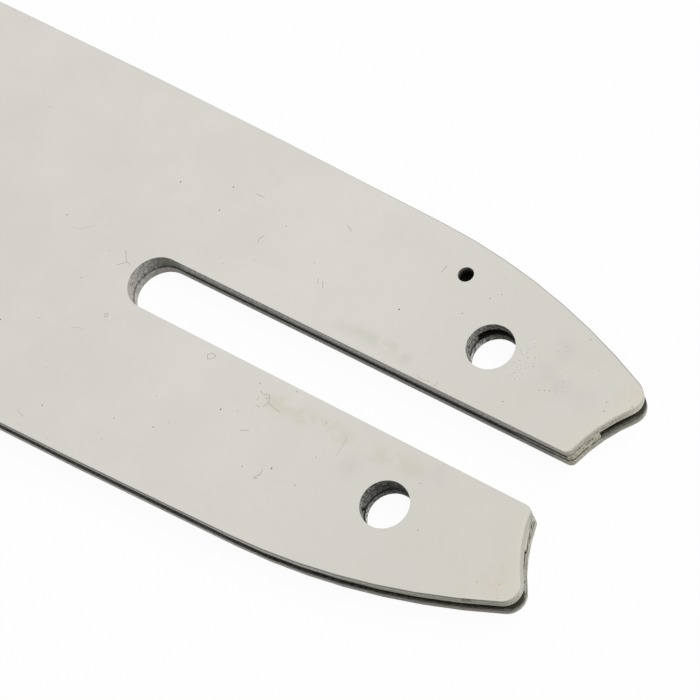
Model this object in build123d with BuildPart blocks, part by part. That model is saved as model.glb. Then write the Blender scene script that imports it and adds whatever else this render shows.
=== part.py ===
from build123d import *
import math
import os

# Laminated chainsaw guide bar with a sprocket nose, lying flat on one side plate.
# Origin: midway between the tension holes, on the underside. +X runs to the nose, +Z is up.

# Plate stack
side_plate_thickness = 1.3
core_thickness = 1.4
plate_rim_chamfer = 0.12
rim_chamfer_angle = 45.0

# Outer edge: nose, long edges and tail shoulders are arcs that run into each other
nose_x = 380.0
nose_radius = 23.0
edge_radius = 2650.0
shoulder_x = 15.8
shoulder_half_width = 25.47
shoulder_radius = 98.5

# Tail end, hollowed out to clear the saw's drive sprocket
drive_centre_x = -37.6
drive_clearance_radius = 21.2
tail_corner_radius = 2.4
slot_mouth_radius = 1.0

# Slot for the bar studs, tension pin holes and oil hole
slot_width = 8.2
slot_end_x = 51.8
tension_hole_radius = 3.27
tension_hole_offset = 12.41
oil_hole_radius = 1.1
oil_hole_x = 8.8
oil_hole_offset = 20.05

# Core plate: chain groove, setback in the slot and relief from each tension hole to the groove
groove_depth = 7.5
core_slot_setback = 0.08
relief_width = 4.8
relief_angle = 65.0

# Nose sprocket
tooth_count = 9
tooth_projection = 1.2
tooth_depth = 6.9
gullet_radius = 3.6
gullet_flank_angle = 32.0
tooth_tip_chamfer = 0.4
sprocket_side_clearance = 0.1
sprocket_core_gap = 1.0

# Nose bearing
race_radius = 7.0
roller_radius = 1.6
roller_end_clearance = 0.05
running_clearance = 0.03

# Nose rivets, countersunk and flush
rivet_count = 3
rivet_circle_radius = 4.6
rivet_radius = 1.5
rivet_head_radius = 2.1
rivet_head_depth = 0.6
rivet_clearance = 0.02

# Heights that follow from the stack
bar_thickness = 2 * side_plate_thickness + core_thickness
top_plate_base = side_plate_thickness + core_thickness

# Centres, radii and angles that several pieces share
nose_centre = Vector(nose_x, 0)
drive_centre = Vector(drive_centre_x, 0)
sprocket_tip_radius = nose_radius + tooth_projection
sprocket_bore_radius = race_radius + 2 * roller_radius + 2 * running_clearance
rivet_start_angle = 180 / rivet_count
rivet_head_angle = 2 * math.degrees(math.atan((rivet_head_radius - rivet_radius) / rivet_head_depth))


def crossings(centre_a, radius_a, centre_b, radius_b):
    """The two points where two circles cross, the higher one first."""
    line = centre_b - centre_a
    along = (radius_a**2 - radius_b**2 + line.length**2) / (2 * line.length)
    across = math.sqrt(radius_a**2 - along**2)
    foot = centre_a + line.normalized() * along
    side = Vector(-line.Y, line.X).normalized() * across
    return sorted((foot + side, foot - side), key=lambda point: -point.Y)


def angle_from(centre, point):
    """Direction from a centre to a point, in degrees from +X."""
    return math.degrees(math.atan2(point.Y - centre.Y, point.X - centre.X))


# The long edge passes through the shoulder point and runs into the nose arc
shoulder = Vector(shoulder_x, shoulder_half_width)
edge_centre = crossings(shoulder, edge_radius, nose_centre, edge_radius - nose_radius)[1]
shoulder_centre = shoulder + (edge_centre - shoulder) * (shoulder_radius / edge_radius)
nose_angle = angle_from(edge_centre, nose_centre)
shoulder_angle = angle_from(edge_centre, shoulder)


def bar_outline(rail_inset):
    """Bar outline from nose to tail, closed across the slot, drawn for one half and mirrored."""
    tail_shoulder_radius = shoulder_radius - rail_inset
    tail_corner = crossings(
        shoulder_centre, tail_shoulder_radius, drive_centre, drive_clearance_radius
    )[0]
    tail_angle = angle_from(drive_centre, tail_corner)
    corner_angle = angle_from(shoulder_centre, tail_corner)
    with BuildSketch() as outline:
        with BuildLine():
            CenterArc(nose_centre, nose_radius - rail_inset, 0, nose_angle)
            CenterArc(edge_centre, edge_radius - rail_inset, nose_angle, shoulder_angle - nose_angle)
            CenterArc(
                shoulder_centre, tail_shoulder_radius, shoulder_angle, corner_angle - shoulder_angle
            )
            CenterArc(drive_centre, drive_clearance_radius, tail_angle, -tail_angle)
            mirror(about=Plane.XZ)
        make_face()
    return outline.sketch


def slot_opening(slot_inset):
    """Slot with a round end, running out into the drive clearance through a rounded mouth."""
    slot_half_width = slot_width / 2 + slot_inset
    slot_centre_x = slot_end_x - slot_half_width
    with BuildSketch() as opening:
        with Locations(drive_centre):
            Circle(drive_clearance_radius)
            Rectangle(
                slot_centre_x - drive_centre_x, 2 * slot_half_width, align=(Align.MIN, Align.CENTER)
            )
        with Locations((slot_centre_x, 0)):
            Circle(slot_half_width)
        fillet(opening.vertices().sort_by(Axis.X)[:2], slot_mouth_radius)
    return opening.sketch


# Side plate on top: one stamping, its outer rim bevelled and the rims of its slot and holes left sharp
with BuildPart() as side_plate_top:
    with BuildSketch(Plane.XY.offset(top_plate_base)) as side_profile:
        add(bar_outline(0))
        fillet(side_profile.vertices().sort_by(Axis.X)[:2], tail_corner_radius)
    extrude(amount=side_plate_thickness - plate_rim_chamfer)
    with BuildSketch(Plane.XY.offset(bar_thickness - plate_rim_chamfer)):
        add(side_profile.sketch_local)
    extrude(amount=plate_rim_chamfer, taper=rim_chamfer_angle)
    with BuildSketch(Plane.XY.offset(top_plate_base)):
        add(slot_opening(0))
        with Locations((0, tension_hole_offset), (0, -tension_hole_offset)):
            Circle(tension_hole_radius)
        with Locations((oil_hole_x, -oil_hole_offset)):
            Circle(oil_hole_radius)
    extrude(amount=side_plate_thickness, mode=Mode.SUBTRACT)
    with Locations((nose_x, 0, bar_thickness)):
        with PolarLocations(rivet_circle_radius, rivet_count, start_angle=rivet_start_angle):
            CounterSinkHole(
                rivet_radius + rivet_clearance,
                rivet_head_radius + rivet_clearance,
                depth=side_plate_thickness,
                counter_sink_angle=rivet_head_angle,
            )
side_plate_top.part.label = "side_plate_top"

# Side plate below: the same stamping turned over about the bar's long axis
with BuildPart() as side_plate_bottom:
    with Locations((0, 0, bar_thickness)):
        add(side_plate_top.part, rotation=(180, 0, 0))
side_plate_bottom.part.label = "side_plate_bottom"

# Core plate: set in from the rails all round, so that the chain groove lies over its edge
with BuildPart() as core_plate:
    with BuildSketch(Plane.XY.offset(side_plate_thickness)):
        add(bar_outline(groove_depth))
        add(slot_opening(core_slot_setback), mode=Mode.SUBTRACT)
        with Locations(nose_centre):
            Circle(sprocket_tip_radius + sprocket_core_gap, mode=Mode.SUBTRACT)
        for side in (1, -1):
            hole_centre = Vector(0, side * tension_hole_offset)
            with Locations(hole_centre):
                Circle(tension_hole_radius, mode=Mode.SUBTRACT)
            with Locations(Location(hole_centre, (0, 0, side * relief_angle))):
                Rectangle(
                    shoulder_half_width,
                    relief_width,
                    align=(Align.MIN, Align.CENTER),
                    mode=Mode.SUBTRACT,
                )
    extrude(amount=core_thickness)
core_plate.part.label = "core_plate"

# Nose sprocket: round gullets with straight flanks, bored for the rollers
gullet_centre = sprocket_tip_radius - tooth_depth + gullet_radius
flank_slope = math.radians(gullet_flank_angle)
flank_start = Vector(
    gullet_centre - gullet_radius * math.sin(flank_slope), gullet_radius * math.cos(flank_slope)
)
flank_run = sprocket_tip_radius + tooth_projection - flank_start.X
flank_end = flank_start + Vector(flank_run, flank_run * math.tan(flank_slope))
with BuildSketch() as gullet:
    with Locations((gullet_centre, 0)):
        Circle(gullet_radius)
    with BuildLine():
        Polyline(
            (gullet_centre, 0), flank_start, flank_end, (flank_end.X, -flank_end.Y),
            (flank_start.X, -flank_start.Y), close=True,
        )
    make_face()

with BuildPart() as nose_sprocket:
    with BuildSketch(Plane((nose_x, 0, side_plate_thickness + sprocket_side_clearance))) as star:
        Circle(sprocket_tip_radius)
        with PolarLocations(0, tooth_count):
            add(gullet.sketch, mode=Mode.SUBTRACT)
        tips = star.vertices().group_by(lambda point: round(Vector(point).length, 3))[-1]
        chamfer(tips, tooth_tip_chamfer)
        Circle(sprocket_bore_radius, mode=Mode.SUBTRACT)
    extrude(amount=core_thickness - 2 * sprocket_side_clearance)
nose_sprocket.part.label = "nose_sprocket"

# Bearing race: disc clamped between the side plates by the rivets
with BuildPart() as bearing_race:
    with BuildSketch(Plane((nose_x, 0, side_plate_thickness))):
        Circle(race_radius)
        with PolarLocations(rivet_circle_radius, rivet_count, start_angle=rivet_start_angle):
            Circle(rivet_radius + rivet_clearance, mode=Mode.SUBTRACT)
    extrude(amount=core_thickness)
bearing_race.part.label = "bearing_race"

# Nose rivets: shanks with a flush cone at each end
with BuildPart() as nose_rivets:
    with BuildSketch(Plane.XZ) as rivet_half:
        with BuildLine():
            Polyline(
                (0, 0), (rivet_head_radius, 0), (rivet_radius, rivet_head_depth),
                (rivet_radius, bar_thickness - rivet_head_depth), (rivet_head_radius, bar_thickness),
                (0, bar_thickness), close=True,
            )
        make_face()
    rivet = revolve(axis=Axis.Z, mode=Mode.PRIVATE)
    with Locations(nose_centre):
        with PolarLocations(rivet_circle_radius, rivet_count, start_angle=rivet_start_angle):
            add(rivet)
nose_rivets.part.label = "nose_rivets"

os.makedirs("parts", exist_ok=True)
export_step(side_plate_top.part, "parts/side_plate_top.step")
export_step(side_plate_bottom.part, "parts/side_plate_bottom.step")
export_step(core_plate.part, "parts/core_plate.step")
export_step(nose_sprocket.part, "parts/nose_sprocket.step")
export_step(bearing_race.part, "parts/bearing_race.step")
export_step(nose_rivets.part, "parts/nose_rivets.step")

# Bearing rollers: as many as fit round the race, one piece each
roller_circle_radius = race_radius + running_clearance + roller_radius
roller_half_angle = math.asin((roller_radius + running_clearance) / roller_circle_radius)
roller_count = int(math.pi / roller_half_angle)
for number in range(roller_count):
    turn = 2 * math.pi * number / roller_count
    place = nose_centre + Vector(math.cos(turn), math.sin(turn)) * roller_circle_radius
    with BuildPart() as bearing_roller:
        with BuildSketch(Plane((place.X, place.Y, side_plate_thickness + roller_end_clearance))):
            Circle(roller_radius)
        extrude(amount=core_thickness - 2 * roller_end_clearance)
    bearing_roller.part.label = f"bearing_roller_{number + 1:02d}"
    export_step(bearing_roller.part, f"parts/{bearing_roller.part.label}.step")
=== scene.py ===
import math

import bpy
from mathutils import Euler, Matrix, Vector

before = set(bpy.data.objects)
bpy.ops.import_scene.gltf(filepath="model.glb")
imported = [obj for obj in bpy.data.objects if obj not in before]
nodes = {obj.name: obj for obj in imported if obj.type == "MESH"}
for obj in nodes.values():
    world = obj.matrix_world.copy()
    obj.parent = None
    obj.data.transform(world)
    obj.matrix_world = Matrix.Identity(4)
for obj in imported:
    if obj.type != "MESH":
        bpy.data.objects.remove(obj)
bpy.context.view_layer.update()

# Camera, fitted to the slot and the holes in the photograph (metres, degrees, mm of lens)
CAMERA_PLACE = (-0.10427, 0.06683, 0.22068)
CAMERA_TURN = (29.446, 15.269, -145.275)
CAMERA_LENS = 101.74
SENSOR_WIDTH = 36.0
CLIP_START = 0.01

# Light and floor
SKY_STRENGTH = 0.38
KEY_PLACE = (-0.60, -0.80, 1.50)
KEY_AIM = (0.05, 0.0, 0.0)
KEY_SIZE = 1.6
KEY_POWER = 29.0
FLOOR_SIZE = 12.0
FLOOR_COLOUR = (0.8, 0.8, 0.8, 1)
FLOOR_WHITE_SHARE = 0.95
WHITE = (1, 1, 1, 1)
WHITE_STRENGTH = 1.0

# The bar's own sizes in mm, the unit of every pattern below
MM_PER_M = 1000.0
BAR_THICKNESS = 4.0
LOWER_SEAM = 1.3
UPPER_SEAM = 2.7
DRIVE_CENTRE = (-37.6, 0.0)
DRIVE_RADIUS = 21.2
TENSION_HOLES = ((0.0, 12.41), (0.0, -12.41))
NEAR_TENSION_HOLE = TENSION_HOLES[0]
TENSION_HOLE_RADIUS = 3.27
OIL_HOLES = ((8.8, -20.05), (8.8, 20.05))
NOSE_CENTRE = (380.0, 0.0)
NOSE_RADIUS = 23.0
NOSE_START_X = 381.7
RIVET_COUNT = 3
RIVET_CIRCLE_RADIUS = 4.6
RIVET_HEAD_RADIUS = 2.1
EDGE_CENTRE = (180.45, -2619.41)
EDGE_RADIUS = 2650.0
SHOULDER_CENTRE = (21.92, -72.84)
SHOULDER_RADIUS = 98.5
SHOULDER_X = 15.8

# Coat of the side plates
COAT_LIGHT = (0.695, 0.679, 0.625, 1)
COAT_DARK = (0.670, 0.654, 0.600, 1)
GRAIN_DARK = (0.580, 0.565, 0.515, 1)
SPECK_COLOUR = (0.055, 0.050, 0.045, 1)
STAIN_COLOUR = (0.580, 0.550, 0.440, 1)
GREY_STAIN_COLOUR = (0.500, 0.500, 0.430, 1)
HAZE_COLOUR = (0.510, 0.490, 0.475, 1)
BLOOM_COLOUR = (0.690, 0.610, 0.490, 1)
RUST_COLOUR = (0.300, 0.170, 0.120, 1)
RAIL_RUST_COLOUR = (0.105, 0.072, 0.030, 1)
GRIME_COLOUR = (0.560, 0.540, 0.480, 1)
TAIL_TINT = (0.660, 0.640, 0.540, 1)
BORDER_DIM = (0.420, 0.410, 0.360, 1)
BORDER_PALE = (0.700, 0.680, 0.580, 1)
FLECK_COLOUR = (0.800, 0.785, 0.740, 1)

# Cut edges and bare steel
CUT_DARK = (0.190, 0.186, 0.168, 1)
CUT_LIGHT = (0.570, 0.558, 0.520, 1)
# Painted light, warmer in tint, at one side of the slot's round end
TIP_DARK = (0.340, 0.318, 0.285, 1)
TIP_LIGHT = (0.720, 0.685, 0.630, 1)
# Tension hole walls, darker than the slot's as painted shade, and their grit
HOLE_CUT_DARK = (0.034, 0.033, 0.030, 1)
HOLE_CUT_LIGHT = (0.350, 0.345, 0.318, 1)
HOLE_GRIT = (0.520, 0.515, 0.480, 1)
OIL_HOLE_RIM = (0.330, 0.320, 0.270, 1)
OLIVE_CUT = (0.150, 0.150, 0.118, 1)
LOWER_CUT = (0.520, 0.512, 0.480, 1)
TAIL_CUT_DARK = (0.330, 0.315, 0.242, 1)
TAIL_CUT_LIGHT = (0.560, 0.545, 0.440, 1)
# Painted highlight along the lower rim of the tail's upper plate
TAIL_BURR_HIGHLIGHT = (0.780, 0.765, 0.690, 1)
RAIL_DARK = (0.505, 0.492, 0.448, 1)
RAIL_LIGHT = (0.730, 0.715, 0.665, 1)
RAIL_TAIL_DARK = (0.270, 0.258, 0.200, 1)
RAIL_TAIL_LIGHT = (0.440, 0.425, 0.350, 1)
# Painted shade of the broken rim, also spread along the near edge
RIM_SHADE_COLOUR = (0.230, 0.224, 0.208, 1)
# Paler lips of the inner sides: painted light
GROOVE_LIP = (0.215, 0.210, 0.190, 1)
GROOVE_LIP_BRIGHT = (0.350, 0.343, 0.318, 1)
TAIL_LIP = (0.560, 0.545, 0.490, 1)
HOLE_LIP = (0.260, 0.255, 0.235, 1)
CORE_DARK = (0.190, 0.185, 0.165, 1)
CORE_LIGHT = (0.500, 0.490, 0.450, 1)
# Dark joints, also used as painted shade beside the slot's lower joint
SEAM_AND_SHADE_COLOUR = (0.012, 0.012, 0.011, 1)
# Inner sides and hidden core: oil and painted shade
INSIDE_SHADE_COLOUR = (0.031, 0.029, 0.023, 1)
INSIDE_DUST = (0.062, 0.056, 0.040, 1)
INSIDE_OIL_AND_SHADE = (0.015, 0.013, 0.010, 1)

# Bare machine steel in the nose: colours, roughness and turning rings per mm
SPROCKET_LIGHT = (0.42, 0.42, 0.43, 1)
SPROCKET_DARK = (0.20, 0.20, 0.21, 1)
SPROCKET_ROUGH = 0.35
SPROCKET_RINGS = 3.0
BEARING_LIGHT = (0.62, 0.62, 0.63, 1)
BEARING_DARK = (0.40, 0.40, 0.41, 1)
BEARING_ROUGH = 0.22
BEARING_RINGS = 5.0
RIVET_LIGHT = (0.270, 0.265, 0.255, 1)
RIVET_DARK = (0.130, 0.127, 0.120, 1)
RIVET_ROUGH = 0.5
RIVET_RINGS = 0.4

# Marks on the upper face, each as (x, y) in mm from the part's origin
STRONG_SPECKS = (
    (54.5, -15.0), (46.7, -17.6), (46.3, -13.6), (67.0, -3.2), (50.7, 22.6), (27.4, 11.5),
    (16.1, 15.2), (14.0, -11.7), (65.1, 14.9),
)
MIDDLE_SPECKS = (
    (35.8, -15.6), (58.3, 4.1), (40.1, 19.4), (34.3, 17.9), (60.0, 12.1), (19.8, 16.8),
    (2.8, -19.6), (3.9, -18.4), (6.0, -14.9), (-9.0, -9.9), (-9.6, -10.2), (-10.2, -10.4),
    (-5.7, -6.5), (-17.4, -12.3), (-17.8, -11.1), (-20.6, -13.2), (11.9, 15.7), (-2.5, 7.9),
    (11.7, 11.2), (13.3, 6.5), (19.5, 4.6), (-11.1, -19.0), (24.8, 5.9), (-5.7, 13.3),
)
FAINT_SPECKS = (
    (40.6, -6.8), (36.7, -9.1), (28.8, -12.6), (50.5, 17.3), (53.9, 17.7), (36.7, 13.9),
    (32.7, 16.3), (39.8, 22.6), (46.9, 26.2), (25.2, 10.6), (-8.8, -16.8), (-8.2, -15.8),
    (-14.3, -15.7), (3.7, -21.8), (-4.6, -13.8), (-4.8, -10.6), (57.3, -1.2),
    (-18.5, 14.5), (-19.3, 16.1), (-16.0, 15.5),
)
HAIRS = (
    ((42.9, -18.1), (42.2, -18.1), (41.5, -18.1)),
    ((38.1, -11.8), (38.1, -12.4), (37.8, -13.0)),
    ((55.0, -2.3), (53.8, -0.9), (53.0, -0.7)),
    ((53.7, -0.8), (54.7, 0.1)),
    ((27.8, -19.4), (26.9, -18.9)),
    ((26.8, -10.8), (26.5, -10.0)),
    ((26.0, -10.7), (25.4, -9.8)),
    ((12.0, -18.9), (11.8, -20.1)),
    ((23.1, 12.7), (22.1, 12.2)),
    ((17.5, 17.5), (17.0, 17.2)),
    ((17.5, 17.4), (17.2, 16.9), (17.0, 16.6), (17.1, 15.9)),
    ((24.0, 6.8), (23.5, 7.0), (22.6, 6.7), (22.2, 7.2), (22.1, 7.9), (22.4, 8.5)),
    ((22.2, 7.6), (21.4, 7.9), (20.6, 8.0), (19.9, 8.1)),
    ((23.4, 8.8), (22.8, 8.8)),
    ((23.8, 7.6), (23.7, 8.1)),
    ((22.8, 7.3), (22.5, 7.2)),
    ((34.0, 5.7), (33.7, 5.3), (33.3, 5.2), (32.8, 5.3), (32.8, 5.7), (33.6, 6.2), (34.0, 5.7)),
)
FAINT_HAIRS = (
    ((65.0, -1.8), (63.6, -2.2), (61.9, -3.5)),
    ((54.6, 11.1), (53.6, 10.7), (52.8, 10.5)),
    ((53.5, 24.9), (51.9, 25.2)),
    ((9.6, 7.0), (9.5, 8.3), (9.4, 9.9)),
)
SCUFFS = (
    (-4.4, -13.7), (-4.5, -15.2), (-5.0, -13.3), (-4.7, -12.0), (-6.2, -12.9), (-5.1, -10.8),
    (-5.2, -10.2), (-6.2, -13.7), (-10.7, -12.7), (-11.5, -12.4), (-11.2, -11.3), (-5.4, -11.6),
)
GREY_CLOUDS = (
    (-8.3, -12.4), (-11.2, -11.3), (-14.9, -11.3), (-9.0, -16.2), (-3.7, 6.2), (6.6, 10.4),
)
YELLOW_SMEARS = (
    ((22.0, 7.3), (17.2, 7.1), (12.4, 6.9), (9.9, 7.0)),
    ((6.6, 7.2), (3.6, 7.0), (1.4, 6.8), (-0.9, 6.7)),
)
GREY_SMEARS = (((19.9, -6.1), (16.8, -6.5), (13.4, -6.3), (11.0, -6.4), (9.2, -6.1)),)
RUST_DASHES = (
    ((6.4, -4.6), (5.7, -4.4), (5.2, -4.5), (4.3, -4.6)),
    ((3.7, -4.4), (3.4, -4.4), (3.4, -5.0)),
)
RUST_BLOOMS = (
    (-20.1, -14.7), (-21.4, -13.8), (-19.4, -13.6), (-18.7, 14.5), (-17.1, 14.7), (-18.2, 12.6),
    (-15.4, 18.3),
)
RAIL_RUST = ((-16.2, 18.0), (-15.6, 18.2))
NEAR_MOUTH = (-16.4, 4.8)
SLOT_SHADOW = (48.6, -4.0)
RING_CENTRE = (51.1, 7.3)
RING_RADIUS = 0.27
MARKED_X = (82.0, 70.0)

# Noise, each as (repeats per mm, detail, roughness), and how some of it is stretched
COARSE_MOTTLE = (2.2, 3.0, 0.65)
FINE_MOTTLE = (8.0, 2.0, 0.7)
CLOUD_NOISE = (0.09, 4.0, 0.6)
GRAIN_NOISE = (4.0, 3.0, 0.7)
PEEL_NOISE = (0.9, 2.0, 0.5)
BLOTCH_NOISE = (0.4, 3.0, 0.55)
BLOOM_NOISE = (0.8, 3.0, 0.6)
FLECK_NOISE = (4.0, 1.0, 0.5)
CONTOUR_NOISE = (0.7, 1.0, 0.5)
STREAK_NOISE = (1.0, 3.0, 0.7)
OIL_NOISE = (0.3, 3.0, 0.6)
SEAM_NOISE = (1.3, 3.0, 0.7)
TAIL_SEAM_NOISE = (1.9, 3.0, 0.7)
SCRATCH_NOISE = (1.0, 3.0, 0.6)
TARNISH_NOISE = (0.25, 4.0, 0.6)
NOISE_MIDDLE = 0.5
JITTER_SCALE = 3.0
JITTER_DETAIL = 1.0
JITTER_REACH = 0.14
RING_DETAIL = 3.0
FLECK_STRETCH = (0.6, 1.0, 1.0)
STREAK_STRETCH = (1.2, 1.2, 7.0)
SCRATCH_STRETCH = (0.6, 9.0, 0.6)
DOT_CELLS = 0.115
HAIR_CELLS = 0.07
PIT_CELLS = 2.2

# From here on, a smooth step is (start, end) or (start, end, low, high), and its name or its line
# below says what it runs along. A spot or line is (reach, strength, softness).

# Where on a side plate a point lies: by the face's slope, the height and the distance from edges
LEVEL_SLOPE = (0.9, 0.97)
CUT_SLOPE = (0.95, 0.85)
WALL_SLOPE = (0.4, 0.3)
INNER_DEPTH = (1.4, 1.1)
TOP_HEIGHT = (3.5, 3.9)
UPPER_PLATE_HEIGHT = (2.0, 2.2)
RAIL_INSET = (0.5, 0.3)
TAIL_INSET = (3.4, 1.4)
NEAR_SIDE_Y = (0.0, 1.0)
SLOT_SIDE_Y = (7.0, 6.0)
HOLE_WALL = (TENSION_HOLE_RADIUS + 0.3, 1.0, 0.05)
OIL_HOLE_WALL = (1.4, 1.0, 0.05)

# Cloud, grain, stains and haze of the coat
CLOUD_CONTRAST = (0.35, 0.65)
GRAIN_TINT = (0.52, 0.9, 0.0, 0.35)
YELLOW_SPREAD = (2.0, 0.5, 1.0)
YELLOW_PATCH = (0.38, 0.60)
GREY_SPREAD = (1.6, 0.4, 1.0)
GREY_PATCH = (0.30, 0.56)
GREY_X = (20.0, 14.0, 0.5, 1.0)
HAZE_SPREAD = (3.0, 0.3, 1.0)
HAZE_PATCH = (0.30, 0.60, 0.2, 1.0)
BLOOM_SPREAD = (2.6, 0.75, 1.0)
BLOOM_PATCH = (0.34, 0.56)
GRIME_X = (30.0, -18.0, 0.0, 0.5)
GRIME_PATCH = (0.0, 1.0, 0.6, 1.0)

# Borders of the coat: tail tint, double line at the near corner, painted shade along the near edge
TAIL_TINT_INSET = (3.2, 0.4, 0.0, 0.4)
BORDER_SHIFT = 0.1
CORNER_Y = (4.6, 6.0)
CORNER_X = (-13.0, -16.5)
DIM_LINE = (0.28, 0.35, 0.7)
PALE_LINE_INSET = 0.42
PALE_LINE = (0.18, 0.35, 0.7)
EDGE_SHADE = (0.26, 0.6, 0.7)
EDGE_SHADE_X = (-6.0, 4.0)

# Specks, hairs, scuffs and rust
STRONG_SPECK = (0.14, 0.95, 0.5)
MIDDLE_SPECK = (0.13, 0.5, 0.5)
FAINT_SPECK = (0.13, 0.28, 0.5)
HAIR = (0.065, 0.42, 0.5)
FAINT_HAIR = (0.10, 0.16, 0.5)
RING_LINE = (0.08, 0.35, 0.5)
SCUFF_SPREAD = (1.2, 1.0, 0.9)
DARK_FLECK = (0.60, 0.72, 0.0, 0.3)
PALE_FLECK = (0.40, 0.28, 0.0, 0.7)
STREWN_DOT = (0.12, 1.0, 0.5)
STREWN_DOT_STRENGTH = (0.1, 1.0, 0.12, 0.8)
STREWN_HAIR = (0.028, 0.4, 0.5)
STREWN_HAIR_PATCH = (1.1, 1.0, 0.3)
RIVET_RING = (0.30, 0.6, 1.0)
RUST_DASH = (0.10, 0.5, 0.6)
RUST_DASH_GRAIN = (0.35, 0.60)
RAIL_RUST_SPOT = (0.55, 0.8, 0.8)
RAIL_RUST_HEIGHT = (2.9, 3.6)
RAIL_RUST_GRAIN = (0.35, 0.55)

# Mottle of every cut edge
COARSE_SHARE = 0.6
FINE_SHARE = 0.4
MOTTLE_CONTRAST = (0.38, 0.61)

# Slot edge, with painted shade and painted light at its round end and painted shade beside the lower
# joint
LOWER_CUT_SHARE = 0.5
SLOT_SHADE = (3.4, 0.75, 0.7)
TIP_X = (49.0, 51.0)
TIP_LIT_Y = (-2.5, 1.5, 0.0, 0.6)
SLOT_BRIGHT_X = (32.0, 22.0, 0.0, 0.45)
SLOT_SUNK_SHADE_HEIGHT = (0.3, 1.2, 0.0, 0.75)
SLOT_SUNK_SHADE_X = (50.0, 45.0)

# Tension holes and oil hole, with painted light and shade on their walls
HOLE_MOTTLE_SHARE = 0.5
HOLE_GRAIN = (0.56, 0.90)
PALE_GRIT = (0.54, 0.66, 0.0, 0.6)
DARK_GRIT = (0.46, 0.36, 0.0, 0.7)
FAR_HOLE_LIGHT_Y = (-15.4, -13.6, 0.78, 1.65)
NEAR_HOLE_LIGHT_Y = (9.5, 15.5, 0.66, 1.45)
FAR_HOLE_LOW_LIGHT = (1.3, 0.6, 0.5, 1.5)
NEAR_HOLE_LOW_LIGHT = (1.25, 0.5, 0.5, 1.6)
OIL_HOLE_DEPTH = (2.0, 1.1)

# Rails, with painted shade beside the groove
RAIL_CLEAN_X = (-14.0, 20.0)
UNDER_HEIGHT = (0.25, 1.35)
UNDER_SHARE_X = (4.0, 30.0, 0.52, 0.25)
OVER_TOP_X = (4.0, 25.0, 3.35, 3.90)
OVER_BASE_X = (4.0, 25.0, 2.85, 3.05)
OVER_X = (-14.0, 4.0)

# Tail edge, with painted shade beside the groove's end and a painted highlight along its lower rim
FAR_CORNER_Y = (-11.4, -13.0, 0.0, 0.95)
FAR_COAT_HEIGHT = (3.0, 3.95, 0.0, 0.75)
NEAR_COAT_Y = (15.0, 13.4, 0.30, 0.72)
GROOVE_END_Y = (8.2, 9.4)
TAIL_SUNK_SHADE_HEIGHT = (0.2, 1.3, 0.0, 0.75)
TAIL_SUNK_SHADE_SIDE = (0.0, 1.0, 0.6, 1.0)
BURR_HIGHLIGHT_LINE = (0.16, 0.8, 0.5)
GREY_CORNER = (1.5, 0.65, 0.5)

# Joint lines, and rims in painted shade with a painted reflection along the far side
SEAM_WIDTH = (0.3, 0.7, -0.03, 0.2)
LOWER_SEAM_X = (46.0, 49.0, 0.9, 0.35)
UPPER_SEAM_SHARE = 0.25
UPPER_SEAM_LOSS = 0.17
MOUTH_X = (-7.5, -11.0)
MOUTH_LINE_HEIGHT = 2.6
MOUTH_LINE = (0.32, 0.9, 0.5)
HOLE_SEAM_FAR_Y = (9.1, 10.7, 1.70, 1.14)
HOLE_SEAM_NEAR_Y = (12.0, 14.2, 0.0, 0.45)
HOLE_SEAM_WIDTH_Y = (9.1, 10.7, 0.40, 0.30)
HOLE_SEAM_SHARP = 0.5
HOLE_SEAM_START_Y = (8.0, 8.5)
TAIL_SEAM_PITS = (0.38, 0.58, 0.35, 1.0)
TAIL_SEAM_HEIGHT_Y = (6.0, 12.0, 2.0, 1.1)
TAIL_SEAM_LINE = (0.46, 0.95, 0.6)
TAIL_SEAM_START_Y = (4.5, 5.5)
RIM_COAT_SIDE = (0.0, 1.0, 0.55, 0.8)
FAR_RIM_REFLECTION_X = (10.0, 40.0, 0.0, 0.5)

# Inner sides of the plates: oil and painted shade, with painted light at the lips
OIL_PATCH = (0.4, 0.6)
DUST_X = (2.0, -16.0, 0.0, 0.9)
LIP_RAGGED = 0.25
LIP_FORWARD_X = (8.0, 22.0)
LIP_WIDTH = (0.0, 1.0, 0.55, 0.60)
LIP_END = 0.08
HOLE_LIP_START = (0.08, 0.24)
HOLE_LIP_END = (1.0, 0.7)

# Gloss and relief of the plates
COAT_ROUGH = (0.2, 0.8, 0.40, 0.52)
CUT_ROUGH = 0.1
SHADED_ROUGH = (0.2, 0.8, 0.82, 0.92)
PEEL_SHARE = 0.7
GRAIN_SHARE = 0.3
TORN_SHARE = 5.0
COAT_RELIEF = 0.008
COAT_SPECULAR = 0.3

# Core plate
CORE_TIP_X = (45.5, 49.5)
CORE_TAIL_INSET = (0.8, 0.3)
SLOT_SAG_X = (6.0, 40.0, -0.1, 0.2)
BAND_HEIGHT = 1.62
BAND_LINE = (0.52, 0.97, 0.6)
BAND_X = (20.0, 36.0, 1.0, 0.93)
SHELF_HEIGHT = (1.62, 1.4, 0.0, 0.75)
CORE_MOUTH_HEIGHT = 2.45
CORE_MOUTH_LINE = (0.58, 1.0, 0.45)
CORE_FAR_HOLE_LIGHT_Y = (-14.0, -11.5, 1.0, 1.8)
CORE_NEAR_HOLE_LIGHT_Y = (9.3, 12.5, 0.5, 0.95)
CORE_HOLE_SEAM_HEIGHT = 1.48
CORE_HOLE_SEAM = (0.28, 0.8, 0.5)
CORE_HOLE_SEAM_Y = (-10.6, -11.6)
CORE_PIT = (0.46, 0.6, 0.5)
CORE_PIT_SIDE = (0.0, 1.0, 1.0, 0.25)
CORE_TAIL_LIGHT = (0.0, 1.0, 1.25, 1.45)
CORE_UPPER_SEAM = 0.9
CORE_LOWER_SEAM_X = (-8.0, -11.0, 0.5, 0.95)
CORE_TIP_SEAM = 0.9
TIP_BAND_HEIGHT = 1.58
TIP_BAND = (0.24, 0.75, 0.7)
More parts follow.
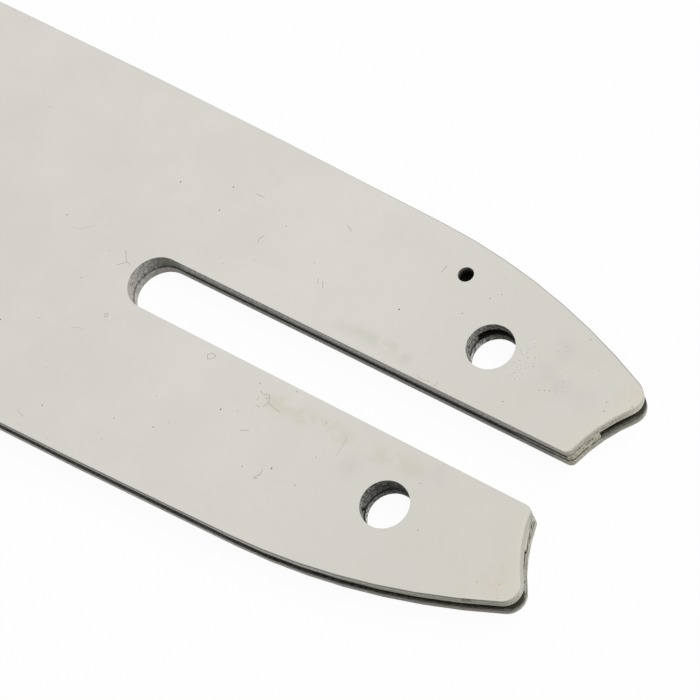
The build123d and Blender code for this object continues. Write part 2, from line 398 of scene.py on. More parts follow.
TIP_BAND_MOTTLE = (0.2, 0.7, 1.0, 0.55)
CORE_ROUGH = (0.0, 1.0, 0.65, 0.85)
CORE_RELIEF = 0.04
CORE_SPECULAR = 0.1

# Turned steel
TURNED_SHARE = 0.5
TURNED_CONTRAST = (0.35, 0.65)
TARNISH_PATCH = (0.5, 0.7, 0.0, 0.35)
TURNED_GLOSS = (0.3, 0.7)
TURNED_ROUGHER = 0.1
TURNED_SMOOTHER = 0.05
TURNED_RELIEF = 0.006

scene = bpy.context.scene


def rivet_centres():
    """Places of the nose rivets, evenly spaced round the nose."""
    centres = []
    for number in range(RIVET_COUNT):
        turn = math.pi * (2 * number + 1) / RIVET_COUNT
        x = NOSE_CENTRE[0] + RIVET_CIRCLE_RADIUS * math.cos(turn)
        y = NOSE_CENTRE[1] + RIVET_CIRCLE_RADIUS * math.sin(turn)
        centres.append((x, y))
    return centres


class Finish:
    """Node tree of a material or world: each method adds nodes and gives back the last socket."""

    def __init__(self, owner):
        owner.use_nodes = True
        self.owner = owner
        self.tree = owner.node_tree
        self.tree.nodes.clear()

    def add(self, kind, inputs=None, output=0, **settings):
        node = self.tree.nodes.new("ShaderNode" + kind)
        for name, value in settings.items():
            setattr(node, name, value)
        for socket, value in (inputs or {}).items():
            if isinstance(value, bpy.types.NodeSocket):
                self.tree.links.new(value, node.inputs[socket])
            else:
                node.inputs[socket].default_value = value
        return node.outputs[output]

    def place(self):
        """Position on the piece in mm, which moves with the piece."""
        return self.vector("SCALE", self.add("TexCoord", output="Object"), MM_PER_M)

    def part_of(self, vector, axis):
        return self.add("SeparateXYZ", {0: vector}, output=axis)

    def vector(self, operation, first, second):
        if operation == "SCALE":
            return self.add("VectorMath", {0: first, "Scale": second}, operation=operation)
        if operation in ("DISTANCE", "DOT_PRODUCT"):
            inputs = {0: first, 1: second}
            return self.add("VectorMath", inputs, output="Value", operation=operation)
        return self.add("VectorMath", {0: first, 1: second}, operation=operation)

    def math(self, operation, first, second=0.0):
        return self.add("Math", {0: first, 1: second}, operation=operation)

    def plus(self, first, second):
        return self.math("ADD", first, second)

    def minus(self, first, second):
        return self.math("SUBTRACT", first, second)

    def times(self, first, *others):
        for other in others:
            first = self.math("MULTIPLY", first, other)
        return first

    def most(self, first, *others):
        for other in others:
            first = self.math("MAXIMUM", first, other)
        return first

    def least(self, first, second):
        return self.math("MINIMUM", first, second)

    def absolute(self, value):
        return self.math("ABSOLUTE", value)

    def off(self, value, middle):
        """Distance of a value from a middle, on either side."""
        return self.absolute(self.minus(value, middle))

    def ramp(self, value, start, end, low=0.0, high=1.0):
        """Smooth step from low at start to high at end."""
        inputs = {"Value": value, "From Min": start, "From Max": end, "To Min": low, "To Max": high}
        return self.add("MapRange", inputs, interpolation_type="SMOOTHSTEP")

    def slope(self, value, start, end, low, high):
        """Straight step from low at start to high at end."""
        inputs = {"Value": value, "From Min": start, "From Max": end, "To Min": low, "To Max": high}
        return self.add("MapRange", inputs)

    def noise(self, vector, scale, detail, roughness):
        inputs = {"Vector": vector, "Scale": scale, "Detail": detail, "Roughness": roughness}
        return self.add("TexNoise", inputs)

    def cells(self, vector, scale):
        """Node of scattered cells, whose distances are in cell widths."""
        node = self.tree.nodes.new("ShaderNodeTexVoronoi")
        node.inputs["Scale"].default_value = scale
        self.tree.links.new(vector, node.inputs["Vector"])
        return node

    def mix(self, factor, first, second):
        """Mixed colour, whose sockets go by number since the names repeat for each kind of value."""
        return self.add("Mix", {0: factor, 6: first, 7: second}, output=2, data_type="RGBA")

    def blend(self, factor, first, second):
        """Mixed number."""
        return self.add("Mix", {0: factor, 2: first, 3: second})

    def nearest_point(self, flat, points):
        """Distance in mm to the nearest of the points."""
        nearest = None
        for x, y in points:
            distance = self.vector("DISTANCE", flat, (x, y, 0))
            nearest = distance if nearest is None else self.least(nearest, distance)
        return nearest

    def nearest_line(self, flat, lines):
        """Distance in mm to the nearest of the lines, each a row of points."""
        nearest = None
        for line in lines:
            for start, end in zip(line, line[1:]):
                run = Vector((end[0] - start[0], end[1] - start[1], 0))
                offset = self.vector("SUBTRACT", flat, (start[0], start[1], 0))
                along = self.vector("DOT_PRODUCT", offset, run / run.length_squared)
                share = self.add("Clamp", {"Value": along})
                foot = self.vector("SCALE", tuple(run), share)
                distance = self.vector("DISTANCE", offset, foot)
                nearest = distance if nearest is None else self.least(nearest, distance)
        return nearest

    def near(self, distance, reach, strength, softness):
        """Mark of a given strength where the distance is below the reach."""
        return self.ramp(distance, reach, reach * (1 - softness), 0.0, strength)

    def show(self, shader, output="OutputMaterial"):
        """Makes a shader the one that the owner shows."""
        node = self.tree.nodes.new("ShaderNode" + output)
        self.tree.links.new(shader, node.inputs["Surface"])
        return self.owner

    def surface(self, relief, relief_depth, inputs):
        """Surface whose relief of 1 is relief_depth mm high."""
        bump = {"Strength": 1.0, "Distance": relief_depth / MM_PER_M, "Height": relief}
        return self.show(self.add("BsdfPrincipled", {**inputs, "Normal": self.add("Bump", bump)}))


class BarFinish(Finish):
    """Finish of a bar plate: where a point lies on the bar, and what all its plates share."""

    def __init__(self, name):
        super().__init__(bpy.data.materials.new(name))
        self.spot = self.place()
        self.x = self.part_of(self.spot, "X")
        self.y = self.part_of(self.spot, "Y")
        self.z = self.part_of(self.spot, "Z")
        self.flat = self.vector("MULTIPLY", self.spot, (1, 1, 0))
        self.side_distance = self.absolute(self.y)
        self.far_side = self.math("LESS_THAN", self.y, 0.0)
        from_drive = self.vector("DISTANCE", self.flat, (*DRIVE_CENTRE, 0))
        self.from_tail = self.minus(from_drive, DRIVE_RADIUS)
        self.slot = self.ramp(self.side_distance, *SLOT_SIDE_Y)
        self.hole = self.near(self.nearest_point(self.flat, TENSION_HOLES), *HOLE_WALL)

        # Pits and torn grain of a stamped edge, 0 to 1
        coarse = self.times(self.noise(self.spot, *COARSE_MOTTLE), COARSE_SHARE)
        fine = self.times(self.noise(self.spot, *FINE_MOTTLE), FINE_SHARE)
        self.torn = self.ramp(self.plus(coarse, fine), *MOTTLE_CONTRAST)

    def slot_end(self, edge, shadow_share):
        """Slot edge whose round end has painted shade at one side and painted light, warmer in tint, at
        the other.
        """
        # Painted shade at one side of the round end
        shadow = self.near(self.nearest_point(self.flat, (SLOT_SHADOW,)), *SLOT_SHADE)
        edge = self.mix(self.times(shadow, shadow_share), edge, OLIVE_CUT)
        # Painted light, warmer in tint, at the other side of the round end
        lit_tip = self.times(self.ramp(self.x, *TIP_X), self.ramp(self.y, *TIP_LIT_Y))
        return self.mix(lit_tip, edge, self.mix(self.torn, TIP_DARK, TIP_LIGHT))

    def seam_line(self, height, strength):
        """Dark, uneven joint line between two plates at a height."""
        width = self.ramp(self.noise(self.spot, *SEAM_NOISE), *SEAM_WIDTH)
        inside = self.math("LESS_THAN", self.off(self.z, height), width)
        return self.times(inside, strength)

    def near_hole_seam(self):
        """Joint line in the near tension hole, which climbs towards both of its ends."""
        far_end = self.ramp(self.y, *HOLE_SEAM_FAR_Y)
        height = self.plus(far_end, self.ramp(self.y, *HOLE_SEAM_NEAR_Y))
        width = self.ramp(self.y, *HOLE_SEAM_WIDTH_Y)
        line = self.ramp(self.off(self.z, height), width, self.times(width, HOLE_SEAM_SHARP))
        return self.times(line, self.ramp(self.y, *HOLE_SEAM_START_Y))

    def near_tail_seam(self):
        """Joint line across the near prong's end, pitted, which slopes down towards the rail."""
        pits = self.ramp(self.noise(self.spot, *TAIL_SEAM_NOISE), *TAIL_SEAM_PITS)
        height = self.slope(self.y, *TAIL_SEAM_HEIGHT_Y)
        line = self.near(self.off(self.z, height), *TAIL_SEAM_LINE)
        return self.times(line, self.ramp(self.y, *TAIL_SEAM_START_Y), pits)


class PlateFinish(BarFinish):
    """Side plate: coat and marks on the faces, stained steel on the cut edges, oil inside."""

    def __init__(self, name):
        super().__init__(name)
        self.middle_distance = self.off(self.z, BAR_THICKNESS / 2)

        # Where the surface is: level face, inner side, broken rim or cut wall
        normal = self.add("NewGeometry", output="Normal")
        level = self.absolute(self.part_of(normal, "Z"))
        self.level_face = self.ramp(level, *LEVEL_SLOPE)
        self.inner_side = self.times(self.level_face, self.ramp(self.middle_distance, *INNER_DEPTH))
        self.upper_face = self.times(self.level_face, self.ramp(self.z, *TOP_HEIGHT))
        self.cut = self.ramp(level, *CUT_SLOPE)
        self.wall = self.ramp(level, *WALL_SLOPE)
        self.upper_plate = self.ramp(self.z, *UPPER_PLATE_HEIGHT)
        self.lower_plate = self.minus(1.0, self.upper_plate)
        self.near_side = self.minus(1.0, self.far_side)
        self.from_rail = self.rail_inset()
        self.rail = self.ramp(self.from_rail, *RAIL_INSET)
        self.tail = self.ramp(self.from_tail, *TAIL_INSET)
        self.oil_hole = self.near(self.nearest_point(self.flat, OIL_HOLES), *OIL_HOLE_WALL)

        # Patterns that several layers share
        self.grain = self.noise(self.spot, *GRAIN_NOISE)
        jitter = {"Vector": self.spot, "Scale": JITTER_SCALE, "Detail": JITTER_DETAIL}
        jitter = self.add("TexNoise", jitter, output="Color")
        jitter = self.vector("SUBTRACT", jitter, (NOISE_MIDDLE,) * 3)
        jitter = self.vector("MULTIPLY", jitter, (JITTER_REACH, JITTER_REACH, 0))
        self.bent = self.vector("ADD", self.flat, jitter)

    def arc_inset(self, half, centre, radius):
        """Distance in mm inwards from an arc."""
        return self.minus(radius, self.vector("DISTANCE", half, (*centre, 0)))

    def rail_inset(self):
        """Distance in mm inwards from the bar's outer edge: shoulder, long edge, then nose."""
        mirrored = self.add("VectorMath", {0: self.spot}, operation="ABSOLUTE")
        side = self.vector("MULTIPLY", mirrored, (0, 1, 0))
        half = self.vector("ADD", side, self.vector("MULTIPLY", self.spot, (1, 0, 0)))
        edge = self.arc_inset(half, EDGE_CENTRE, EDGE_RADIUS)
        shoulder = self.arc_inset(half, SHOULDER_CENTRE, SHOULDER_RADIUS)
        nose = self.arc_inset(half, NOSE_CENTRE, NOSE_RADIUS)
        inset = self.blend(self.math("LESS_THAN", self.x, SHOULDER_X), edge, shoulder)
        return self.blend(self.math("GREATER_THAN", self.x, NOSE_START_X), inset, nose)

    def coat(self):
        """Pale coat with cloud and grain, stained near the slot and the tail corners."""
        cloud = self.ramp(self.noise(self.spot, *CLOUD_NOISE), *CLOUD_CONTRAST)
        coat = self.mix(cloud, COAT_DARK, COAT_LIGHT)
        coat = self.mix(self.ramp(self.grain, *GRAIN_TINT), coat, GRAIN_DARK)

        blotch = self.noise(self.spot, *BLOTCH_NOISE)
        yellow = self.near(self.nearest_line(self.flat, YELLOW_SMEARS), *YELLOW_SPREAD)
        yellow = self.times(yellow, self.ramp(blotch, *YELLOW_PATCH), self.upper_face)
        coat = self.mix(yellow, coat, STAIN_COLOUR)
        grey = self.near(self.nearest_line(self.flat, GREY_SMEARS), *GREY_SPREAD)
        grey = self.times(grey, self.ramp(blotch, *GREY_PATCH), self.ramp(self.x, *GREY_X))
        coat = self.mix(self.times(grey, self.upper_face), coat, GREY_STAIN_COLOUR)
        haze = self.near(self.nearest_point(self.flat, GREY_CLOUDS), *HAZE_SPREAD)
        haze = self.times(haze, self.ramp(blotch, *HAZE_PATCH), self.upper_face)
        coat = self.mix(haze, coat, HAZE_COLOUR)
        bloom = self.near(self.nearest_point(self.flat, RUST_BLOOMS), *BLOOM_SPREAD)
        bloom = self.times(bloom, self.ramp(self.noise(self.spot, *BLOOM_NOISE), *BLOOM_PATCH))
        coat = self.mix(bloom, coat, BLOOM_COLOUR)
        grime = self.times(self.ramp(self.x, *GRIME_X), self.ramp(cloud, *GRIME_PATCH))
        return self.mix(grime, coat, GRIME_COLOUR)

    def tinted_and_shaded_borders(self, coat):
        """Tinted tail, a fine double line along the near corner and the rim's painted shade along the
        near edge.
        """
        coat = self.mix(self.ramp(self.from_tail, *TAIL_TINT_INSET), coat, TAIL_TINT)
        border = self.least(self.from_tail, self.plus(self.from_rail, BORDER_SHIFT))
        corner = self.times(self.ramp(self.y, *CORNER_Y), self.ramp(self.x, *CORNER_X))
        dim_line = self.near(border, *DIM_LINE)
        coat = self.mix(self.times(dim_line, corner), coat, BORDER_DIM)
        pale_line = self.near(self.off(border, PALE_LINE_INSET), *PALE_LINE)
        coat = self.mix(self.times(pale_line, corner), coat, BORDER_PALE)
        # Painted shade: the rim's dark colour spread onto the face along the near edge
        edge_shade = self.times(self.near(self.from_rail, *EDGE_SHADE), self.ramp(self.x, *EDGE_SHADE_X))
        return self.mix(self.times(edge_shade, self.ramp(self.y, *NEAR_SIDE_Y)), coat, RIM_SHADE_COLOUR)

    def scuff_flecks(self):
        """Dark and pale flecks of the scuffed places, each 0 to 1."""
        scuffed = self.near(self.nearest_point(self.flat, SCUFFS), *SCUFF_SPREAD)
        scuffed = self.times(scuffed, self.upper_face)
        fleck = self.noise(self.vector("MULTIPLY", self.flat, FLECK_STRETCH), *FLECK_NOISE)
        dark = self.times(scuffed, self.ramp(fleck, *DARK_FLECK))
        pale = self.times(scuffed, self.ramp(fleck, *PALE_FLECK))
        return dark, pale

    def listed_marks(self):
        """Specks, hairs and one ring that the upper face shows, 0 to 1."""
        ring = self.vector("DISTANCE", self.bent, (*RING_CENTRE, 0))
        marks = self.most(
            self.near(self.nearest_point(self.bent, STRONG_SPECKS), *STRONG_SPECK),
            self.near(self.nearest_point(self.bent, MIDDLE_SPECKS), *MIDDLE_SPECK),
            self.near(self.nearest_point(self.bent, FAINT_SPECKS), *FAINT_SPECK),
            self.near(self.nearest_line(self.bent, HAIRS), *HAIR),
            self.near(self.nearest_line(self.bent, FAINT_HAIRS), *FAINT_HAIR),
            self.near(self.off(ring, RING_RADIUS), *RING_LINE),
        )
        return self.times(marks, self.upper_face)

    def strewn_marks(self):
        """The same kind of marks at random over the rest of both plates, and a rim round each rivet."""
        dots = self.cells(self.bent, DOT_CELLS)
        dot = self.near(self.math("DIVIDE", dots.outputs["Distance"], DOT_CELLS), *STREWN_DOT)
        chance = self.part_of(dots.outputs["Color"], "X")
        dot = self.times(dot, self.ramp(chance, *STREWN_DOT_STRENGTH))
        patches = self.cells(self.flat, HAIR_CELLS)
        patch = self.math("DIVIDE", patches.outputs["Distance"], HAIR_CELLS)
        contour = self.off(self.noise(self.flat, *CONTOUR_NOISE), NOISE_MIDDLE)
        hair = self.times(self.near(contour, *STREWN_HAIR), self.near(patch, *STREWN_HAIR_PATCH))
        listed = self.times(self.ramp(self.x, *MARKED_X), self.upper_plate)
        strewn = self.times(self.most(dot, hair), self.minus(1.0, listed))
        rivet_edge = self.off(self.nearest_point(self.flat, rivet_centres()), RIVET_HEAD_RADIUS)
        strewn = self.most(strewn, self.near(rivet_edge, *RIVET_RING))
        return self.times(strewn, self.level_face)

    def rust_dashes(self):
        """Broken rust line beside the slot, 0 to 1."""
        dash = self.near(self.nearest_line(self.bent, RUST_DASHES), *RUST_DASH)
        return self.times(dash, self.ramp(self.grain, *RUST_DASH_GRAIN), self.upper_face)

    def slot_edge(self):
        """Mottled steel of the slot, brighter towards its mouth, with painted shade beside the lower
        joint.
        """
        edge = self.mix(self.torn, CUT_DARK, CUT_LIGHT)
        edge = self.mix(self.times(self.lower_plate, LOWER_CUT_SHARE), edge, LOWER_CUT)
        edge = self.slot_end(edge, self.upper_plate)
        bright = self.times(self.upper_plate, self.ramp(self.x, *SLOT_BRIGHT_X))
        edge = self.mix(bright, edge, LOWER_CUT)
        # Painted shade on the lower plate's wall beside the lower joint
        sunk_shade = self.times(self.ramp(self.z, *SLOT_SUNK_SHADE_HEIGHT), self.ramp(self.x, *SLOT_SUNK_SHADE_X))
        return self.mix(self.times(sunk_shade, self.lower_plate), edge, SEAM_AND_SHADE_COLOUR)

    def hole_edge(self):
        """Streaked, gritty steel of the tension holes, darker than the slot as painted shade, with
        painted light and shade that vary by side and between the plates.
        """
        stretched = self.vector("MULTIPLY", self.spot, STREAK_STRETCH)
        streak = self.noise(stretched, *STREAK_NOISE)
        streak = self.plus(streak, self.times(self.torn, HOLE_MOTTLE_SHARE))
        edge = self.mix(self.ramp(streak, *HOLE_GRAIN), HOLE_CUT_DARK, HOLE_CUT_LIGHT)
        edge = self.mix(self.ramp(self.grain, *PALE_GRIT), edge, HOLE_GRIT)
        edge = self.mix(self.ramp(self.grain, *DARK_GRIT), edge, HOLE_CUT_DARK)
        # Painted light and shade of the hole walls, by side and between the plates
        near_light = self.ramp(self.y, *NEAR_HOLE_LIGHT_Y)
        far_light = self.ramp(self.y, *FAR_HOLE_LIGHT_Y)
        near_low = self.ramp(self.z, *NEAR_HOLE_LOW_LIGHT)
        far_low = self.ramp(self.z, *FAR_HOLE_LOW_LIGHT)
        low = self.blend(self.lower_plate, 1.0, self.blend(self.far_side, near_low, far_low))
        light = self.times(self.blend(self.far_side, near_light, far_light), low)
        edge = self.vector("SCALE", edge, light)
        return self.mix(self.near_hole_seam(), edge, SEAM_AND_SHADE_COLOUR)

    def rail_edge(self):
        """Ground rails, stained towards the tail."""
        ground = self.mix(self.torn, RAIL_DARK, RAIL_LIGHT)
        stained = self.mix(self.torn, RAIL_TAIL_DARK, RAIL_TAIL_LIGHT)
        return self.mix(self.ramp(self.x, *RAIL_CLEAN_X), stained, ground)

    def rail_shade(self):
        """Painted shade on the rails beside the groove, 0 to 1."""
        share = self.ramp(self.x, *UNDER_SHARE_X)
        under = self.times(self.rail, self.ramp(self.z, *UNDER_HEIGHT, 0.0, share))
        top = self.ramp(self.x, *OVER_TOP_X)
        base = self.ramp(self.x, *OVER_BASE_X)
        over = self.times(self.rail, self.ramp(self.z, top, base), self.ramp(self.x, *OVER_X))
        return self.blend(self.lower_plate, over, under)

    def tail_edge(self, coat):
        """Tail edge that took some of the coat, with painted shade beside the groove's end and a
        painted highlight along its lower rim.
        """
        edge = self.mix(self.torn, TAIL_CUT_DARK, TAIL_CUT_LIGHT)
        far_corner = self.times(self.ramp(self.y, *FAR_CORNER_Y), self.upper_plate)
        far_coat = self.most(self.ramp(self.z, *FAR_COAT_HEIGHT), far_corner)
        near_coat = self.times(self.ramp(self.y, *NEAR_COAT_Y), self.upper_plate)
        edge = self.mix(self.blend(self.near_side, far_coat, near_coat), edge, coat)
        # Painted shade on the lower plate's tail wall beside the groove's end
        sunk_shade = self.times(
            self.ramp(self.z, *TAIL_SUNK_SHADE_HEIGHT),
            self.ramp(self.side_distance, *GROOVE_END_Y),
            self.ramp(self.far_side, *TAIL_SUNK_SHADE_SIDE),
            self.lower_plate,
        )
        edge = self.mix(sunk_shade, edge, INSIDE_SHADE_COLOUR)
        edge = self.mix(self.near_tail_seam(), edge, SEAM_AND_SHADE_COLOUR)
        # Painted highlight along the lower rim of the upper plate
        burr_highlight = self.near(self.off(self.z, UPPER_SEAM), *BURR_HIGHLIGHT_LINE)
        return self.mix(burr_highlight, edge, TAIL_BURR_HIGHLIGHT)

    def seams(self):
        """Joint lines along both seams and in the slot's mouth, 0 to 1."""
        lower = self.ramp(self.x, *LOWER_SEAM_X)
        loss = self.times(self.most(self.tail, self.slot), UPPER_SEAM_LOSS)
        upper = self.minus(UPPER_SEAM_SHARE, loss)
        mouth = self.times(self.slot, self.ramp(self.x, *MOUTH_X))
        mouth_line = self.near(self.off(self.z, MOUTH_LINE_HEIGHT), *MOUTH_LINE)
        return self.most(
            self.seam_line(LOWER_SEAM, lower),
            self.seam_line(UPPER_SEAM, upper),
            self.times(mouth, mouth_line),
        )

    def rim(self, coat):
        """Broken rim in painted shade, partly coated at the tail, with a painted reflection along the
        far side.
        """
        coated = self.times(self.tail, self.ramp(self.far_side, *RIM_COAT_SIDE))
        rim = self.mix(coated, RIM_SHADE_COLOUR, coat)
        # Painted reflection: a lighter rim along the far side
        return self.mix(self.times(self.far_side, self.ramp(self.x, *FAR_RIM_REFLECTION_X)), rim, coat)

    def cut_edge(self, coat, shaded):
        """All cut edges and rims of the plate."""
        # Oil and painted shade: the oil hole's wall darkens deeper in
        oil_and_shade = self.mix(self.ramp(self.middle_distance, *OIL_HOLE_DEPTH), OIL_HOLE_RIM, INSIDE_SHADE_COLOUR)
        edge = self.mix(self.hole, self.slot_edge(), self.hole_edge())
        edge = self.mix(self.oil_hole, edge, oil_and_shade)
        edge = self.mix(self.rail, edge, self.rail_edge())
        # Painted shade on the rails beside the groove
        edge = self.mix(shaded, edge, INSIDE_SHADE_COLOUR)
        edge = self.mix(self.tail, edge, self.tail_edge(coat))
        grey_corner = self.near(self.nearest_point(self.flat, (NEAR_MOUTH,)), *GREY_CORNER)
        edge = self.mix(self.times(grey_corner, self.upper_plate), edge, HOLE_CUT_LIGHT)
        edge = self.mix(self.seams(), edge, SEAM_AND_SHADE_COLOUR)
        edge = self.mix(self.wall, self.rim(coat), edge)
        rust = self.near(self.nearest_point(self.flat, RAIL_RUST), *RAIL_RUST_SPOT)
        rust = self.times(rust, self.ramp(self.z, *RAIL_RUST_HEIGHT))
        rust = self.times(rust, self.ramp(self.grain, *RAIL_RUST_GRAIN))
        return self.mix(rust, edge, RAIL_RUST_COLOUR)

    def inside(self):
        """Bare inner side with oil and painted shade, dusty at the tail, and paler as painted light at
        the lips of groove and near hole.
        """
        # Oil and painted shade on the inner side
        oil = self.ramp(self.noise(self.spot, *OIL_NOISE), *OIL_PATCH)
        inside = self.mix(oil, INSIDE_SHADE_COLOUR, INSIDE_OIL_AND_SHADE)
        inside = self.mix(self.ramp(self.x, *DUST_X), inside, INSIDE_DUST)
        # Paler lips of groove and near hole: painted light where light reaches in
        lip = self.least(self.from_rail, self.from_tail)
        lip = self.plus(lip, self.times(self.torn, LIP_RAGGED))
        forward = self.ramp(self.x, *LIP_FORWARD_X)
        lip_colour = self.mix(forward, GROOVE_LIP, GROOVE_LIP_BRIGHT)
        lip_colour = self.mix(self.times(self.tail, self.near_side), lip_colour, TAIL_LIP)
        lip_width = self.ramp(forward, *LIP_WIDTH)
        inside = self.mix(self.ramp(lip, lip_width, LIP_END), inside, lip_colour)
        from_hole = self.nearest_point(self.flat, (NEAR_TENSION_HOLE,))
        from_hole = self.minus(from_hole, TENSION_HOLE_RADIUS)
        hole_lip = self.ramp(from_hole, *HOLE_LIP_START)
        hole_lip = self.times(hole_lip, self.ramp(from_hole, *HOLE_LIP_END))
        return self.mix(hole_lip, inside, HOLE_LIP)

    def build(self):
        dark_flecks, pale_flecks = self.scuff_flecks()
        shaded = self.rail_shade()
        coat = self.mix(pale_flecks, self.tinted_and_shaded_borders(self.coat()), FLECK_COLOUR)
        marks = self.most(self.listed_marks(), dark_flecks, self.strewn_marks())
        colour = self.mix(marks, coat, SPECK_COLOUR)
        colour = self.mix(self.rust_dashes(), colour, RUST_COLOUR)
        colour = self.mix(self.cut, colour, self.cut_edge(coat, shaded))
        colour = self.mix(self.inner_side, colour, self.inside())

        rough = self.plus(self.ramp(self.grain, *COAT_ROUGH), self.times(self.cut, CUT_ROUGH))
        dull = self.times(self.most(self.hole, self.oil_hole, shaded), self.cut)
        rough = self.blend(dull, rough, self.ramp(self.grain, *SHADED_ROUGH))
        relief = self.times(self.noise(self.spot, *PEEL_NOISE), PEEL_SHARE)
        relief = self.plus(relief, self.times(self.grain, GRAIN_SHARE))
        relief = self.plus(relief, self.times(self.torn, self.wall, TORN_SHARE))
        inputs = {"Base Color": colour, "Roughness": rough, "Specular IOR Level": COAT_SPECULAR}
        return self.surface(relief, COAT_RELIEF, inputs)


class CoreFinish(BarFinish):
    """Core plate: oil and painted shade where the groove hides it, cut steel in the slot, the holes and
    the tail.
    """

    def __init__(self, name):
        super().__init__(name)
        self.tip = self.times(self.slot, self.ramp(self.x, *CORE_TIP_X))
        self.tail = self.ramp(self.from_tail, *CORE_TAIL_INSET)
        self.near_tail = self.times(self.tail, self.ramp(self.y, *NEAR_SIDE_Y))

    def slot_edge(self):
        """Slot wall with a dark sagging band along its foot, which rises at the mouth."""
        sag = self.plus(self.z, self.ramp(self.x, *SLOT_SAG_X))
        band = self.near(self.off(sag, BAND_HEIGHT), *BAND_LINE)
        band = self.times(band, self.ramp(self.x, *BAND_X))
        deep = self.most(band, self.ramp(sag, *SHELF_HEIGHT))
        mouth_line = self.near(self.off(self.z, CORE_MOUTH_HEIGHT), *CORE_MOUTH_LINE)
        dark = self.blend(self.ramp(self.x, *MOUTH_X), deep, mouth_line)
        return self.mix(dark, self.mix(self.torn, CORE_DARK, CORE_LIGHT), INSIDE_OIL_AND_SHADE)

    def hole_edge(self):
        """Walls of the tension holes, each with its joint line and with painted light and shade by
        side.
        """
        # Painted light and shade of the hole walls by side
        near_light = self.ramp(self.y, *CORE_NEAR_HOLE_LIGHT_Y)
        far_light = self.ramp(self.y, *CORE_FAR_HOLE_LIGHT_Y)
        light = self.blend(self.far_side, near_light, far_light)
        edge = self.mix(self.torn, HOLE_CUT_DARK, HOLE_CUT_LIGHT)
        edge = self.vector("SCALE", edge, light)
        far_seam = self.near(self.off(self.z, CORE_HOLE_SEAM_HEIGHT), *CORE_HOLE_SEAM)
        far_seam = self.times(far_seam, self.ramp(self.y, *CORE_HOLE_SEAM_Y))
        seam = self.most(far_seam, self.near_hole_seam())
        return self.mix(seam, edge, SEAM_AND_SHADE_COLOUR)

    def tail_edge(self):
        """Pitted end of the core at the tail."""
        edge = self.mix(self.torn, TAIL_CUT_DARK, TAIL_CUT_LIGHT)
        edge = self.vector("SCALE", edge, self.ramp(self.near_tail, *CORE_TAIL_LIGHT))
        pits = self.near(self.cells(self.spot, PIT_CELLS).outputs["Distance"], *CORE_PIT)
        pits = self.times(pits, self.ramp(self.near_tail, *CORE_PIT_SIDE))
        edge = self.mix(pits, edge, INSIDE_OIL_AND_SHADE)
        return self.mix(self.near_tail_seam(), edge, SEAM_AND_SHADE_COLOUR)

    def seams(self):
        """Joint lines along both seams and a ragged band at the slot's tip, 0 to 1."""
        lower = self.ramp(self.x, *CORE_LOWER_SEAM_X)
        lower = self.most(lower, self.times(self.tip, CORE_TIP_SEAM))
        loss = self.times(self.most(self.slot, self.near_tail), CORE_UPPER_SEAM)
        upper = self.minus(CORE_UPPER_SEAM, loss)
        band = self.near(self.off(self.z, TIP_BAND_HEIGHT), *TIP_BAND)
        band = self.times(band, self.ramp(self.torn, *TIP_BAND_MOTTLE), self.tip)
        return self.most(
            self.seam_line(LOWER_SEAM, lower),
            self.seam_line(UPPER_SEAM, upper),
            band,
        )

    def build(self):
        # Oil and painted shade where the groove hides the core
        colour = self.mix(self.torn, INSIDE_OIL_AND_SHADE, INSIDE_SHADE_COLOUR)
        colour = self.mix(self.slot, colour, self.slot_edge())
        tip_edge = self.slot_end(self.mix(self.torn, CUT_DARK, CUT_LIGHT), 1.0)
        colour = self.mix(self.tip, colour, tip_edge)
        colour = self.mix(self.hole, colour, self.hole_edge())
        colour = self.mix(self.tail, colour, self.tail_edge())
        colour = self.mix(self.seams(), colour, SEAM_AND_SHADE_COLOUR)
        rough = self.ramp(self.torn, *CORE_ROUGH)
        inputs = {"Base Color": colour, "Roughness": rough, "Specular IOR Level": CORE_SPECULAR}
        return self.surface(self.torn, CORE_RELIEF, inputs)


def turned_steel(name, light, dark, rough, rings_per_mm, centres):
    """Bare machine steel with turning rings round each centre, scratches and a little tarnish."""
    finish = Finish(bpy.data.materials.new(name))
    place = finish.place()
    flat = finish.vector("MULTIPLY", place, (1, 1, 0))
    radius = finish.times(finish.nearest_point(flat, centres), rings_per_mm)
    rings = {"W": radius, "Scale": 1.0, "Detail": RING_DETAIL}
    rings = finish.add("TexNoise", rings, noise_dimensions="1D")
    scratch = finish.noise(finish.vector("MULTIPLY", place, SCRATCH_STRETCH), *SCRATCH_NOISE)
    edge_shade = finish.plus(finish.times(rings, TURNED_SHARE), finish.times(scratch, TURNED_SHARE))
    tarnish = finish.ramp(finish.noise(place, *TARNISH_NOISE), *TARNISH_PATCH)
    colour = finish.mix(finish.ramp(edge_shade, *TURNED_CONTRAST), dark, light)
    colour = finish.mix(tarnish, colour, dark)
    gloss = finish.ramp(edge_shade, *TURNED_GLOSS, rough + TURNED_ROUGHER, rough - TURNED_SMOOTHER)
    inputs = {"Base Color": colour, "Roughness": gloss, "Metallic": 1.0}
    return finish.surface(edge_shade, TURNED_RELIEF, inputs)


def seen_directly(finish):
    """1 for rays that show the surface itself, straight, mirrored or through glass."""
    path = finish.tree.nodes.new("ShaderNodeLightPath")
    kinds = ("Is Camera Ray", "Is Glossy Ray", "Is Transmission Ray")
    return finish.most(*[path.outputs[kind] for kind in kinds])


def floor_white():
    finish = Finish(bpy.data.materials.new("floor_white"))
    share = finish.times(seen_directly(finish), FLOOR_WHITE_SHARE)
    matte = finish.add("BsdfDiffuse", {"Color": FLOOR_COLOUR})
    white = finish.add("Emission", {"Color": WHITE, "Strength": WHITE_STRENGTH})
    return finish.show(finish.add("MixShader", {0: share, 1: matte, 2: white}))


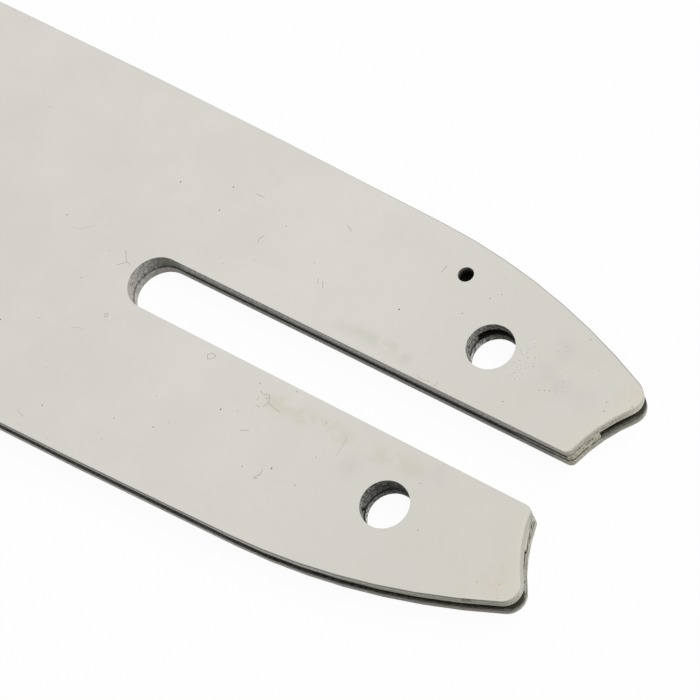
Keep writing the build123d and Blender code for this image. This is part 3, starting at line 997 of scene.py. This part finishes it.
def white_world():
    """White surroundings, dimmer as a light than as a backdrop."""
    finish = Finish(bpy.data.worlds.new("world"))
    light = finish.add("Background", {"Color": WHITE, "Strength": SKY_STRENGTH})
    seen = finish.add("Background", {"Color": WHITE, "Strength": WHITE_STRENGTH})
    both = finish.add("MixShader", {0: seen_directly(finish), 1: light, 2: seen})
    return finish.show(both, "OutputWorld")


def dress(names, material):
    for name in names:
        node = nodes[name]
        node.data.materials.clear()
        node.data.materials.append(material)


# Camera
camera_data = bpy.data.cameras.new("camera")
camera_data.lens = CAMERA_LENS
camera_data.sensor_width = SENSOR_WIDTH
camera_data.clip_start = CLIP_START
camera = bpy.data.objects.new("camera", camera_data)
camera.location = CAMERA_PLACE
camera.rotation_euler = Euler([math.radians(angle) for angle in CAMERA_TURN], "XYZ")
scene.collection.objects.link(camera)
scene.camera = camera

# Key lamp, large and soft, and the surroundings
key_data = bpy.data.lights.new("key", "AREA")
key_data.shape = "SQUARE"
key_data.size = KEY_SIZE
key_data.energy = KEY_POWER
key = bpy.data.objects.new("key", key_data)
key.location = KEY_PLACE
key.rotation_euler = (Vector(KEY_AIM) - Vector(KEY_PLACE)).to_track_quat("-Z", "Y").to_euler()
scene.collection.objects.link(key)
scene.world = white_world()

# Floor
floor_data = bpy.data.meshes.new("floor")
reach = FLOOR_SIZE / 2
corners = [(-reach, -reach, 0), (reach, -reach, 0), (reach, reach, 0), (-reach, reach, 0)]
floor_data.from_pydata(corners, [], [(0, 1, 2, 3)])
floor = bpy.data.objects.new("floor", floor_data)
floor.data.materials.append(floor_white())
scene.collection.objects.link(floor)

# Finishes
rollers = [name for name in nodes if name.startswith("bearing_roller")]
sprocket_steel = turned_steel(
    "sprocket_steel", SPROCKET_LIGHT, SPROCKET_DARK, SPROCKET_ROUGH, SPROCKET_RINGS, [NOSE_CENTRE]
)
bearing_steel = turned_steel(
    "bearing_steel", BEARING_LIGHT, BEARING_DARK, BEARING_ROUGH, BEARING_RINGS, [NOSE_CENTRE]
)
rivet_steel = turned_steel(
    "rivet_steel", RIVET_LIGHT, RIVET_DARK, RIVET_ROUGH, RIVET_RINGS, rivet_centres()
)
dress(["side_plate_top", "side_plate_bottom"], PlateFinish("coated_plate").build())
dress(["core_plate"], CoreFinish("core_steel").build())
dress(["nose_sprocket"], sprocket_steel)
dress(["bearing_race"] + rollers, bearing_steel)
dress(["nose_rivets"], rivet_steel)

scene.view_settings.view_transform = "Standard"
